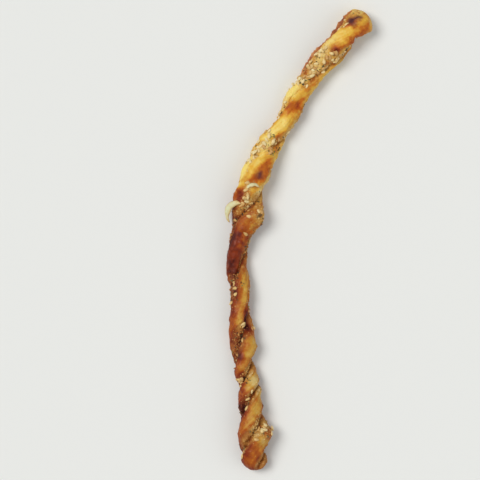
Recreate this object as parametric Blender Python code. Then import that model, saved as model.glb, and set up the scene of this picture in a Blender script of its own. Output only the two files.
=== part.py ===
"""A grissini breadstick: one strip of dough, twisted, bent and baked lying on a tray.

Metres, +Z up. The stick lies along +Y with the side that shows upwards, and its crown leans
towards +X. The origin is on the tray, below the middle of the stick's box.
"""

import math

import bmesh
import bpy
from mathutils import Matrix, Vector

# Driving dimensions.
LENGTH = 0.273  # along the stick's own course, from the foot to the crown
STRIP_WIDTH = 0.0165  # the strip of dough at the crown, edge to edge
STRIP_THICKNESS = 0.0142  # the same, face to face
SLIM_SHARE = 0.70  # the strip's size where it was pulled slim, as a share of its full size
# Where it stayed fuller: how far below the crown, over what reach, and by what share.
FULLER = (
    (0.012, 0.024, 0.27),
    (0.117, 0.022, 0.31),
    (0.196, 0.010, 0.13),
    (0.253, 0.022, 0.23),
)

# The course: nearly straight from the foot, then bent over to the right.
FOOT_LEAN = math.radians(-7.5)
BEND = math.radians(43.5)
BEND_AT = 0.54 * LENGTH
BEND_REACH = 0.1767 * LENGTH
SWAY = math.radians(4.3)
SWAY_WAVE = 0.1963 * LENGTH
SWAY_START = math.radians(-75)
HEAD_LEAN = math.radians(5.3)  # how much further the head leans over
HEAD_ROLL = math.radians(25)  # how much further it is rolled
HEAD_AT = LENGTH - 0.048
HEAD_REACH = 0.008

# The twist, by the length of a half turn: loose under the crown, and tightest above the foot.
FOOT_HALF_TURN = 0.0207
TIGHT_HALF_TURN = 0.0118
MIDDLE_HALF_TURN = 0.0350
CROWN_HALF_TURN = 0.0500
TIGHTER_BELOW = LENGTH - 0.2144
LOOSER_BELOW = LENGTH - 0.2320
LOOSER_ABOVE = LENGTH - 0.074
TIGHT_REACH = 0.003
TWIST_REACH = 0.007
CROWN_ROLL = math.radians(4)  # the strip's width at the crown, counted from level
# How far the half turns above here hang back, in radians, while an edge lies upwards.
LINGER, LINGER_ABOVE = 0.40, LENGTH - 0.1955

# The section of the strip, as shares of its half width or half thickness.
SQUARENESS = 2.45  # 2 is an ellipse
THIN_EDGE = 0.08  # how much thinner the strip's left edge is, and thicker the right one
WAIST = 0.13  # how far each face is sunk between the two edges
FOOT_CREASE = 0.44  # the depth of the fold along each face
CROWN_CREASE = 0.20
FOOT_CREASE_AT = 0.04  # the fold's place between the middle of the face, 0, and the edge, 1
CROWN_CREASE_AT = 0.42
CREASE_WIDTH = 0.20
PUFF = 0.06  # the unevenness of the puffing along the stick
OFF_CENTRE = 0.0007  # how far the strip wanders off the line that it is twisted round
END_ROUNDING = 0.0070
TRAY_FLAT = 0.00126  # how much of the lowest edges the tray has pressed flat

# Swellings and dents: how far below the crown, turned how far up from the right, and their
# height and their reach along and round the stick.
SWELLINGS = (
    (0.0060, math.radians(5), 0.0008, 0.0045, 0.0070),  # the head's shoulder
    (0.0145, math.radians(2), -0.0020, 0.0046, 0.0055),  # the notch under it
    (0.0280, math.radians(178), 0.0005, 0.0110, 0.0050),  # behind the frill on the left
    (0.0380, math.radians(2), -0.0010, 0.0080, 0.0050),
    (0.0510, math.radians(178), -0.0021, 0.0065, 0.0055),  # above the knob
    (0.0630, math.radians(135), 0.0012, 0.0075, 0.0060),  # the knob
    (0.1060, math.radians(0), 0.0014, 0.0070, 0.0045),
    (0.1095, math.radians(178), 0.0026, 0.0080, 0.0045),  # the pale flap on the left
    (0.1335, math.radians(16), 0.0029, 0.0072, 0.0062),  # the lobe on the right
    (0.1720, math.radians(178), 0.0010, 0.0090, 0.0050),
    (0.1925, math.radians(178), -0.0011, 0.0060, 0.0055),
    (0.2055, math.radians(8), 0.0016, 0.0050, 0.0050),
    (0.2545, math.radians(5), 0.0026, 0.0048, 0.0065),  # the elbow near the foot
)

RINGS = 157
POINTS_ROUND = 28
LAST_RING_SHARE = 0.30  # the ring that closes each end, as a share of the full section

CRUST_COLOUR = (0.62, 0.37, 0.12, 1.0)
CRUST_ROUGHNESS = 0.55


def clear_scene():
    for obj in list(bpy.data.objects):
        bpy.data.objects.remove(obj, do_unlink=True)


def mix(low, high, share):
    return low + (high - low) * share


def size(along):
    """The strip's size as a share of its full size."""
    share = SLIM_SHARE
    for below_crown, reach, more in FULLER:
        share += more * math.exp(-(((LENGTH - below_crown - along) / reach) ** 2))
    return share


def passed(along, at, reach):
    """0 well before a place of the course, and 1 well after it."""
    return 0.5 * (1 + math.tanh((along - at) / reach))


def heading(along):
    """The course's direction, in radians to the right of +Y."""
    bent = BEND * passed(along, BEND_AT, BEND_REACH) + HEAD_LEAN * passed(along, HEAD_AT, HEAD_REACH)
    sway = SWAY * math.sin(math.tau * along / SWAY_WAVE + SWAY_START)
    return FOOT_LEAN + bent + sway


def course(alongs):
    """The middle of each ring: stepped along the heading, and lower where the strip is slim."""
    place = Vector((0, 0, 0))
    places = []
    for before, after in zip([0.0] + alongs, alongs):
        turn = heading((before + after) / 2)
        place += (after - before) * Vector((math.sin(turn), math.cos(turn), 0))
        places.append(place + Vector((0, 0, STRIP_WIDTH / 2 * size(after))))
    return places


def gone(past, reach):
    """How far something has gone on since it set in, with a soft start."""
    return 0.5 * (past + reach * math.log(2 * math.cosh(past / reach)))


def roll(along):
    """How far the strip's width is turned up from level, falling towards the crown."""
    half_turns = (LENGTH - along) / CROWN_HALF_TURN
    for looser, tighter, below, reach in (
        (CROWN_HALF_TURN, MIDDLE_HALF_TURN, LOOSER_ABOVE, TWIST_REACH),
        (MIDDLE_HALF_TURN, TIGHT_HALF_TURN, TIGHTER_BELOW, TIGHT_REACH),
        (TIGHT_HALF_TURN, FOOT_HALF_TURN, LOOSER_BELOW, TIGHT_REACH),
    ):
        half_turns += (1 / tighter - 1 / looser) * gone(below - along, reach)
    turned = CROWN_ROLL + math.pi * half_turns
    middle = passed(along, LINGER_ABOVE, TWIST_REACH) * (1 - passed(along, HEAD_AT, HEAD_REACH))
    head = HEAD_ROLL * passed(along, HEAD_AT, HEAD_REACH)
    return turned + LINGER * math.sin(2 * turned) * middle + head


def puff(along, wave, start):
    """A slow and a quick swelling, as a share of the plain size."""
    slow = math.sin(math.tau * along / wave + start)
    quick = math.sin(math.tau * along / (0.41 * wave) + 2.3 * start)
    return 1 + PUFF * (0.65 * slow + 0.45 * quick)


def end_share(along):
    """The section's size near the two ends, from LAST_RING_SHARE to 1, on a round shoulder."""
    from_end = min(along, LENGTH - along)
    if from_end >= END_ROUNDING:
        return 1.0
    inward = 1 - from_end / END_ROUNDING
    return math.sqrt(max(LAST_RING_SHARE**2, 1 - inward**2))


def section_point(turn, along):
    """One point of the section: across the strip's width, and up from its middle."""
    share = along / LENGTH
    whole = size(along) * end_share(along)
    half_width = STRIP_WIDTH / 2 * whole * puff(along, 0.061, 0.6)
    half_thickness = STRIP_THICKNESS / 2 * whole * puff(along, 0.047, 2.1)
    power = 2 / SQUARENESS
    across = math.copysign(abs(math.cos(turn)) ** power, math.cos(turn))
    up = math.copysign(abs(math.sin(turn)) ** power, math.sin(turn))
    crease_at = math.copysign(mix(FOOT_CREASE_AT, CROWN_CREASE_AT, share), up)
    crease_depth = mix(FOOT_CREASE, CROWN_CREASE, share) * puff(along, 0.038, 4.0)
    crease = crease_depth * math.exp(-(((across - crease_at) / CREASE_WIDTH) ** 2))
    sunk = 1 - WAIST * (1 - across**2) - crease + THIN_EDGE * across
    return across * half_width, up * half_thickness * sunk


def swelling(along, outward_turn):
    """How far the skin stands out at a place, from the swellings near it."""
    height = 0.0
    for below_crown, turned, tall, reach_along, reach_round in SWELLINGS:
        beside = STRIP_WIDTH / 2 * math.remainder(outward_turn - turned, math.tau)
        off = math.hypot((LENGTH - below_crown - along) / reach_along, beside / reach_round)
        height += tall * math.exp(-(off**2))
    return height


def ring_points(along, middle):
    """The points of one ring, at the strip's roll and heading there."""
    turn = heading(along)
    side = Vector((math.cos(turn), -math.sin(turn), 0))
    up = Vector((0, 0, 1))
    rolled = roll(along)
    wander = OFF_CENTRE * math.sin(math.tau * along / (0.226 * LENGTH))
    points = []
    for index in range(POINTS_ROUND):
        across, out = section_point(math.tau * index / POINTS_ROUND, along)
        sideways = across * math.cos(rolled) - (out + wander) * math.sin(rolled)
        upward = across * math.sin(rolled) + (out + wander) * math.cos(rolled)
        outward = Vector((sideways, upward))
        outward += swelling(along, math.atan2(upward, sideways)) * outward.normalized() * end_share(along)
        points.append(middle + outward.x * side + outward.y * up)
    return points


def ring_places():
    """Where the rings are along the stick, closer together where the twist is tight, and on the
    round shoulders of the ends."""
    shoulder = [END_ROUNDING * (1 - math.cos(math.radians(step))) for step in (17, 38, 58, 76)]
    inner = RINGS - 2 * len(shoulder)
    first, last = END_ROUNDING, LENGTH - END_ROUNDING
    tight, loose = math.sqrt(TIGHT_HALF_TURN), math.sqrt(CROWN_HALF_TURN)
    middle = []
    for step in range(inner):
        half_turn = mix(tight, loose, step / (inner - 1)) ** 2
        share = (half_turn - TIGHT_HALF_TURN) / (CROWN_HALF_TURN - TIGHT_HALF_TURN)
        middle.append(mix(first, last, share))
    return shoulder + middle + [LENGTH - place for place in reversed(shoulder)]


def twisted_dough():
    """The strip as one closed skin: a face is drawn out from ring to ring, and the foot closed."""
    alongs = ring_places()
    bm = bmesh.new()
    made = bmesh.ops.create_circle(bm, cap_ends=True, segments=POINTS_ROUND, radius=STRIP_WIDTH / 2)
    ring = made["verts"]
    cap = ring[0].link_faces[0]
    for along, middle in zip(alongs, course(alongs)):
        if along > alongs[0]:
            extruded = bmesh.ops.extrude_discrete_faces(bm, faces=[cap])
            cap = extruded["faces"][0]
        for vertex, point in zip(cap.verts, ring_points(along, middle)):
            vertex.co = point
    open_edges = [edge for edge in bm.edges if edge.is_boundary]
    bmesh.ops.holes_fill(bm, edges=open_edges, sides=POINTS_ROUND)
    bmesh.ops.recalc_face_normals(bm, faces=bm.faces)
    return bm


def press_flat(bm):
    """The lowest edges cut level, as they lay on the tray, and the cut closed."""
    lowest = min(vertex.co.z for vertex in bm.verts)
    level = Vector((0, 0, lowest + TRAY_FLAT))
    everything = bm.verts[:] + bm.edges[:] + bm.faces[:]
    cut = bmesh.ops.bisect_plane(
        bm, geom=everything, dist=1e-7, plane_co=level, plane_no=(0, 0, 1), clear_inner=True
    )
    edges = [piece for piece in cut["geom_cut"] if isinstance(piece, bmesh.types.BMEdge)]
    bmesh.ops.holes_fill(bm, edges=edges, sides=0)


def stand_on_origin(bm):
    """The box's lowest middle point is moved to the origin."""
    low = Vector([min(vertex.co[axis] for vertex in bm.verts) for axis in range(3)])
    high = Vector([max(vertex.co[axis] for vertex in bm.verts) for axis in range(3)])
    base = Vector(((low.x + high.x) / 2, (low.y + high.y) / 2, low.z))
    bmesh.ops.transform(bm, matrix=Matrix.Translation(-base), verts=bm.verts)


def crust():
    material = bpy.data.materials.new("baked_crust")
    material.use_nodes = True
    shader = material.node_tree.nodes["Principled BSDF"]
    shader.inputs["Base Color"].default_value = CRUST_COLOUR
    shader.inputs["Roughness"].default_value = CRUST_ROUGHNESS
    shader.inputs["Metallic"].default_value = 0.0
    return material


def breadstick():
    bm = twisted_dough()
    press_flat(bm)
    stand_on_origin(bm)
    mesh = bpy.data.meshes.new("breadstick")
    bm.to_mesh(mesh)
    bm.free()
    mesh.shade_smooth()
    mesh.set_sharp_from_angle(angle=math.radians(50))
    mesh.materials.append(crust())
    obj = bpy.data.objects.new("breadstick", mesh)
    bpy.context.scene.collection.objects.link(obj)


clear_scene()
breadstick()
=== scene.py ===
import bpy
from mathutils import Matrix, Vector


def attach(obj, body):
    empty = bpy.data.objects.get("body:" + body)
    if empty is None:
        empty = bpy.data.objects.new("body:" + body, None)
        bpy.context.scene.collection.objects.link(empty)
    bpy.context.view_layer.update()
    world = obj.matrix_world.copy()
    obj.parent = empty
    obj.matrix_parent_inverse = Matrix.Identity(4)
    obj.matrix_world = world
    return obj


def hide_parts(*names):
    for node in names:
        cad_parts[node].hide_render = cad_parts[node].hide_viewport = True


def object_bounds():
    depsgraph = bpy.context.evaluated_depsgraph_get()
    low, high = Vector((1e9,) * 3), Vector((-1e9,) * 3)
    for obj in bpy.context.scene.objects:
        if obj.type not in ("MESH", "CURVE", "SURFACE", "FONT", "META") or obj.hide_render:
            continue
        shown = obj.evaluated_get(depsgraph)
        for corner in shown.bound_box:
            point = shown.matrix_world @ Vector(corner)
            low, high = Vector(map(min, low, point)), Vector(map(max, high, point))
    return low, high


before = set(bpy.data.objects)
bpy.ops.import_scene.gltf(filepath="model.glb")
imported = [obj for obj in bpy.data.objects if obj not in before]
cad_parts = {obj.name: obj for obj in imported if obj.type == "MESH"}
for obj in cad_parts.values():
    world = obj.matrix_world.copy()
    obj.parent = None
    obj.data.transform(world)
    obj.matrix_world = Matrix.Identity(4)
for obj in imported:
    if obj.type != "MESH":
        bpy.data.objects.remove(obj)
cad_low, cad_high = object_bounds()

import copy
import math
import random

import bmesh
import bpy
from mathutils import Matrix, Vector, noise
from mathutils.bvhtree import BVHTree

# ==== The dough ================================================================================
# One strip of puff dough, brushed with egg, twisted by hand and baked lying on a tray.
# Its two cut edges puffed up into smooth golden bands. The strewn faces lie between them, each
# folded in along a crease painted orange to maroon, partly browning and partly painted shade.

LENGTH = 0.273  # along the stick's own course, from the foot to the crown
STRIP_WIDTH = 0.0165  # the strip of dough at the crown, edge to edge
STRIP_THICKNESS = 0.0142  # the same, face to face
SLIM_SHARE = 0.70  # the strip's size where it was pulled slim, as a share of its full size
# Where it stayed fuller: how far below the crown, over what reach, and by what share.
FULLER = (
    (0.012, 0.024, 0.27),
    (0.117, 0.022, 0.31),
    (0.196, 0.010, 0.13),
    (0.253, 0.022, 0.23),
)

# The course: nearly straight from the foot, then bent over to the right.
FOOT_LEAN = math.radians(-7.5)
BEND = math.radians(43.5)
BEND_AT = 0.54 * LENGTH
BEND_REACH = 0.1767 * LENGTH
SWAY = math.radians(4.3)
SWAY_WAVE = 0.1963 * LENGTH
SWAY_START = math.radians(-75)
HEAD_LEAN = math.radians(5.3)  # how much further the head leans over
HEAD_ROLL = math.radians(25)  # how much further it is rolled
HEAD_AT = LENGTH - 0.048
HEAD_REACH = 0.008

# The twist, by the length of a half turn: loose under the crown, and tightest above the foot.
FOOT_HALF_TURN = 0.0207
TIGHT_HALF_TURN = 0.0118
MIDDLE_HALF_TURN = 0.0350
CROWN_HALF_TURN = 0.0500
TIGHTER_BELOW = LENGTH - 0.2144
LOOSER_BELOW = LENGTH - 0.2320
LOOSER_ABOVE = LENGTH - 0.074
TIGHT_REACH = 0.003
TWIST_REACH = 0.007
CROWN_ROLL = math.radians(4)  # how far the strip's width is turned up at the crown
LINGER = 0.40  # how far the turning hangs back, in radians, while an edge lies upwards
LINGER_ABOVE = LENGTH - 0.1955

# The section of the strip, as shares of its half width or half thickness.
SQUARENESS = 2.45  # 2 is an ellipse
THIN_EDGE = 0.08  # how much thinner the strip's left edge is, and thicker the right one
WAIST = 0.13  # how far each face is sunk between the two edges
FOOT_CREASE = 0.44  # the depth of the fold along each face
CROWN_CREASE = 0.20
FOOT_CREASE_AT = 0.04  # the fold's place between the middle of the face, 0, and the edge, 1
CROWN_CREASE_AT = 0.42
CREASE_WIDTH = 0.20
PUFF = 0.06  # the unevenness of the puffing along the stick
# The length and the start of its waves, in the strip's width, its thickness and its folds.
WIDTH_WAVE, THICKNESS_WAVE, FOLD_WAVE = (0.061, 0.6), (0.047, 2.1), (0.038, 4.0)
OFF_CENTRE = 0.0007  # how far the strip wanders off the line that it is twisted round
OFF_CENTRE_WAVE = 0.226 * LENGTH
END_ROUNDING = 0.0070
TRAY_FLAT = 0.00126  # how much of the lowest edges the tray has pressed flat

# Swellings and dents of the strip: how far below the crown, how many degrees turned up from the
# stick's right side, their height, and their reach along and round the stick.
SWELLINGS = (
    (0.0060, 5, 0.0008, 0.0045, 0.0070),  # the head's shoulder
    (0.0145, 2, -0.0020, 0.0046, 0.0055),  # the notch under it
    (0.0280, 178, 0.0005, 0.0110, 0.0050),  # behind the frill on the left
    (0.0380, 2, -0.0010, 0.0080, 0.0050),
    (0.0510, 178, -0.0021, 0.0065, 0.0055),  # above the knob
    (0.0630, 135, 0.0012, 0.0075, 0.0060),  # the knob
    (0.1060, 0, 0.0014, 0.0070, 0.0045),
    (0.1095, 178, 0.0026, 0.0080, 0.0045),  # the pale flap on the left
    (0.1335, 16, 0.0029, 0.0072, 0.0062),  # the lobe on the right
    (0.1720, 178, 0.0010, 0.0090, 0.0050),
    (0.1925, 178, -0.0011, 0.0060, 0.0055),
    (0.2055, 8, 0.0016, 0.0050, 0.0050),
    (0.2545, 5, 0.0026, 0.0048, 0.0065),  # the elbow near the foot
)

SPOT_CUT = 2.5  # how many reaches away a spot no longer counts

RINGS = 820
POINTS_ROUND = 120
TIP_SHARE = 0.04  # the ring that closes each end, as a share of the full section


def mix(low, high, share):
    """The value at that share of the way from low to high."""
    return low + (high - low) * share


def smooth_step(low, high, value):
    """0 at low, 1 at high, smooth between them and level outside; low may be the larger."""
    share = min(1.0, max(0.0, (value - low) / (high - low)))
    return share * share * (3 - 2 * share)


def strip_size(along):
    """The strip's size as a share of its full size."""
    share = SLIM_SHARE
    for below_crown, reach, more in FULLER:
        share += more * math.exp(-(((LENGTH - below_crown - along) / reach) ** 2))
    return share


def passed(along, at, reach):
    """0 well before a place of the course, and 1 well after it."""
    return 0.5 * (1 + math.tanh((along - at) / reach))


def heading(along):
    """The course's direction, in radians to the right of +Y."""
    bend = BEND * passed(along, BEND_AT, BEND_REACH)
    head = HEAD_LEAN * passed(along, HEAD_AT, HEAD_REACH)
    sway = SWAY * math.sin(math.tau * along / SWAY_WAVE + SWAY_START)
    return FOOT_LEAN + (bend + head) + sway


def gone(past, reach):
    """How far something has gone on since it set in, with a soft start."""
    return 0.5 * (past + reach * math.log(2 * math.cosh(past / reach)))


def roll(along):
    """How far the strip's width is turned up from level, falling towards the crown."""
    half_turns = (LENGTH - along) / CROWN_HALF_TURN
    for looser, tighter, below, reach in (
        (CROWN_HALF_TURN, MIDDLE_HALF_TURN, LOOSER_ABOVE, TWIST_REACH),
        (MIDDLE_HALF_TURN, TIGHT_HALF_TURN, TIGHTER_BELOW, TIGHT_REACH),
        (TIGHT_HALF_TURN, FOOT_HALF_TURN, LOOSER_BELOW, TIGHT_REACH),
    ):
        half_turns += (1 / tighter - 1 / looser) * gone(below - along, reach)
    turned = CROWN_ROLL + math.pi * half_turns
    middle = passed(along, LINGER_ABOVE, TWIST_REACH) * (1 - passed(along, HEAD_AT, HEAD_REACH))
    head = HEAD_ROLL * passed(along, HEAD_AT, HEAD_REACH)
    return turned + LINGER * math.sin(2 * turned) * middle + head


def puff(along, wave, start):
    """A slow and a quick swelling, as a share of the plain size."""
    slow = math.sin(math.tau * along / wave + start)
    quick = math.sin(math.tau * along / (0.41 * wave) + 2.3 * start)
    return 1 + PUFF * (0.65 * slow + 0.45 * quick)


def end_share(along):
    """The section's size near the two ends, up to 1, on a round shoulder."""
    from_end = min(along, LENGTH - along)
    if from_end >= END_ROUNDING:
        return 1.0
    return max(TIP_SHARE, math.sqrt(max(0.0, 1 - (1 - from_end / END_ROUNDING) ** 2)))


def crease_share(across, up, along):
    """How deep in the fold of its face a point of the section is, from 0 to 1."""
    crease_at = math.copysign(mix(FOOT_CREASE_AT, CROWN_CREASE_AT, along / LENGTH), up)
    return math.exp(-(((across - crease_at) / CREASE_WIDTH) ** 2))


def section_point(turn, along):
    """One point of the section: across the strip's width and up from its middle, as shares of
    the half width and the half thickness, and then in metres."""
    power = 2 / SQUARENESS
    across = math.copysign(abs(math.cos(turn)) ** power, math.cos(turn))
    up = math.copysign(abs(math.sin(turn)) ** power, math.sin(turn))
    whole = strip_size(along) * end_share(along)
    half_width = STRIP_WIDTH / 2 * whole * puff(along, *WIDTH_WAVE)
    half_thickness = STRIP_THICKNESS / 2 * whole * puff(along, *THICKNESS_WAVE)
    depth = mix(FOOT_CREASE, CROWN_CREASE, along / LENGTH) * puff(along, *FOLD_WAVE)
    crease = depth * crease_share(across, up, along)
    sunk = 1 - WAIST * (1 - across**2) - crease + THIN_EDGE * across
    return across, up, across * half_width, up * half_thickness * sunk


def near(spots, along, turned, ragged=0.0):
    """The summed height of the spots at a place of the skin; ragged bends their outlines."""
    height_there = 0.0
    for below_crown, degrees, height, reach_along, reach_round in spots:
        off_along = (LENGTH - below_crown - along) / reach_along
        if abs(off_along) < SPOT_CUT:
            round_off = math.remainder(turned - math.radians(degrees), math.tau)
            off_round = STRIP_WIDTH / 2 * round_off / reach_round
            off = max(0.0, math.hypot(off_along, off_round) + ragged)
            height_there += height * math.exp(-(off**2))
    return height_there


def ring_along(ring):
    """Where a ring lies along the stick; the rings crowd together towards the round ends."""
    place = ring / RINGS * LENGTH
    from_end = min(place, LENGTH - place)
    if from_end < END_ROUNDING:
        eased = END_ROUNDING * (1 - math.cos(math.pi / 2 * from_end / END_ROUNDING))
        return eased if place < LENGTH / 2 else LENGTH - eased
    return place


class Ring:
    """The middle, the size and the two directions of the section at one place of the course."""

    def __init__(self, along, middle):
        turn = heading(along)
        self.along = along
        self.middle = middle + Vector((0, 0, STRIP_WIDTH / 2 * strip_size(along)))
        self.side = Vector((math.cos(turn), -math.sin(turn), 0))
        self.roll = roll(along)
        self.wander = OFF_CENTRE * math.sin(math.tau * along / OFF_CENTRE_WAVE)

    def outward(self, turned):
        """The direction out of the stick, turned up from its right side."""
        return math.cos(turned) * self.side + math.sin(turned) * Vector((0, 0, 1))


def rings_along_course():
    """One Ring for each ring of vertices, stepped along the heading from the foot."""
    place = Vector((0, 0, 0))
    before = 0.0
    rings = []
    for step in range(RINGS + 1):
        along = ring_along(step)
        turn = heading((before + along) / 2)
        place = place + (along - before) * Vector((math.sin(turn), math.cos(turn), 0))
        rings.append(Ring(along, place))
        before = along
    return rings


def tube():
    """A plain tube of unit radius and length: a cone's long edges, cut into rings."""
    bm = bmesh.new()
    bmesh.ops.create_cone(bm, cap_ends=True, segments=POINTS_ROUND, radius1=1, radius2=1, depth=1)
    long_edges = [edge for edge in bm.edges if abs(edge.verts[0].co.z - edge.verts[1].co.z) > 0.5]
    bmesh.ops.subdivide_edges(bm, edges=long_edges, cuts=RINGS - 1, use_grid_fill=True)
    caps = [face for face in bm.faces if len(face.verts) > 4]
    bmesh.ops.poke(bm, faces=caps)
    return bm


def twist(bm, rings):
    """The tube's points moved to the twisted strip. Each keeps its place on the section."""
    turn_of = bm.verts.layers.float.new("turn")
    along_of = bm.verts.layers.float.new("along")
    turned_of = bm.verts.layers.float.new("turned")
    for vertex in bm.verts:
        ring = rings[round((vertex.co.z + 0.5) * RINGS)]
        turn = math.atan2(vertex.co.y, vertex.co.x) % math.tau
        inner = min(1.0, math.hypot(vertex.co.x, vertex.co.y))
        _, _, width, height = section_point(turn, ring.along)
        height += ring.wander
        sideways = width * math.cos(ring.roll) - height * math.sin(ring.roll)
        upward = width * math.sin(ring.roll) + height * math.cos(ring.roll)
        turned = math.atan2(upward, sideways)
        swollen = near(SWELLINGS, ring.along, turned) * end_share(ring.along)
        reach = (math.hypot(sideways, upward) + swollen) * inner
        vertex.co = ring.middle + reach * ring.outward(turned)
        vertex[turn_of] = turn
        vertex[along_of] = ring.along
        vertex[turned_of] = turned


def onto_frame(bm, rings):
    """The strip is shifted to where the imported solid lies."""
    low = Vector([min(vertex.co[axis] for vertex in bm.verts) for axis in range(3)])
    high = Vector([max(vertex.co[axis] for vertex in bm.verts) for axis in range(3)])
    shift = (cad_low + cad_high - low - high) / 2
    shift.z = cad_low.z - low.z - TRAY_FLAT
    bmesh.ops.translate(bm, vec=shift, verts=bm.verts)
    for ring in rings:
        ring.middle += shift


# Smaller lumps and dents of the baked skin, in the same terms.
DENTS = (
    (0.0150, 14, -0.0022, 0.0017, 0.0060),  # the sharp step of the notch
    (0.0215, 14, -0.0006, 0.0035, 0.0050),
    (0.0320, 177, -0.0006, 0.0150, 0.0045),  # behind the frill
    (0.0375, 35, -0.0006, 0.0040, 0.0040),
    (0.0596, 140, 0.0010, 0.0044, 0.0046),  # the knob's crown
    (0.0608, 168, 0.0012, 0.0060, 0.0056),  # the knob's left side
    (0.0566, 152, 0.0006, 0.0015, 0.0018),
    (0.0604, 160, 0.0006, 0.0015, 0.0018),
    (0.0618, 136, 0.0005, 0.0015, 0.0018),
    (0.0700, 172, 0.0008, 0.0044, 0.0044),
    (0.0665, 8, 0.0010, 0.0070, 0.0050),
    (0.0659, 98, -0.0015, 0.0026, 0.0046),  # the tear under the knob
    (0.0630, 66, -0.0008, 0.0030, 0.0030),
    (0.0849, 96, -0.0006, 0.0016, 0.0050),
    (0.0954, 40, 0.0007, 0.0050, 0.0030),
    (0.1076, 66, -0.0009, 0.0024, 0.0028),  # the burnt spot
    (0.1212, 138, -0.0024, 0.0044, 0.0034),  # the dark hollow on the left
    (0.1270, 112, 0.0006, 0.0040, 0.0030),
    (0.1305, 38, 0.0009, 0.0055, 0.0040),  # the lobe on the right
    (0.1415, 85, -0.0010, 0.0026, 0.0050),
    (0.1500, 120, 0.0006, 0.0060, 0.0040),
    (0.1890, 55, -0.0012, 0.0045, 0.0030),
    (0.2040, 40, 0.0007, 0.0050, 0.0035),
    (0.2150, 112, 0.0006, 0.0035, 0.0035),
    (0.2370, 145, -0.0012, 0.0050, 0.0040),
    (0.2530, 20, 0.0003, 0.0040, 0.0050),
)

# The relief of the skin: the height and the size of each kind of bump.
SWELL_HEIGHT, SWELL_SIZE = 0.00062, 0.0080  # everywhere
RIPPLE_HEIGHT, RIPPLE_SIZE = 0.00032, 0.0034
BLISTER_HEIGHT, BLISTER_SIZE = 0.00042, 0.0052  # on the puffed sides
COBBLE_HEIGHT, COBBLE_SIZE = 0.00075, 0.0027  # on the crumbly faces
GRIT_HEIGHT, GRIT_SIZE = 0.00040, 0.0018
LIP_HEIGHT, LIP_SIZE = 0.00050, 0.0030  # on the torn lips between a side and a face
FACE_RISE = 0.00025  # how far a face rises beside its fold
CELL_RADIUS = 0.42  # of a blister or a cobble, as a share of its size
BLISTER_TOP = 0.10  # the radius of a blister's flat top, in the same way


def relief(place, side, rim, fold):
    """How far the baked skin stands out from the plain strip at a point: the two puffed sides
    with their blisters, the crumbly faces, and the torn lips between them."""
    swell = SWELL_HEIGHT * noise.noise(place / SWELL_SIZE)
    ripple = RIPPLE_HEIGHT * noise.noise(place / RIPPLE_SIZE)
    from_blister = noise.voronoi(place / BLISTER_SIZE)[0][0]
    blister = BLISTER_HEIGHT * smooth_step(CELL_RADIUS, BLISTER_TOP, from_blister)
    cobbles = COBBLE_HEIGHT * (CELL_RADIUS - noise.voronoi(place / COBBLE_SIZE)[0][0])
    grit = GRIT_HEIGHT * noise.fractal(place / GRIT_SIZE, 1.0, 2.1, 3)
    face = FACE_RISE * (1 - fold) + cobbles + grit
    lip = LIP_HEIGHT * (0.45 + noise.noise(place / LIP_SIZE))
    return (swell + ripple) + side * blister + (1 - side) * face + rim * lip
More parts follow.
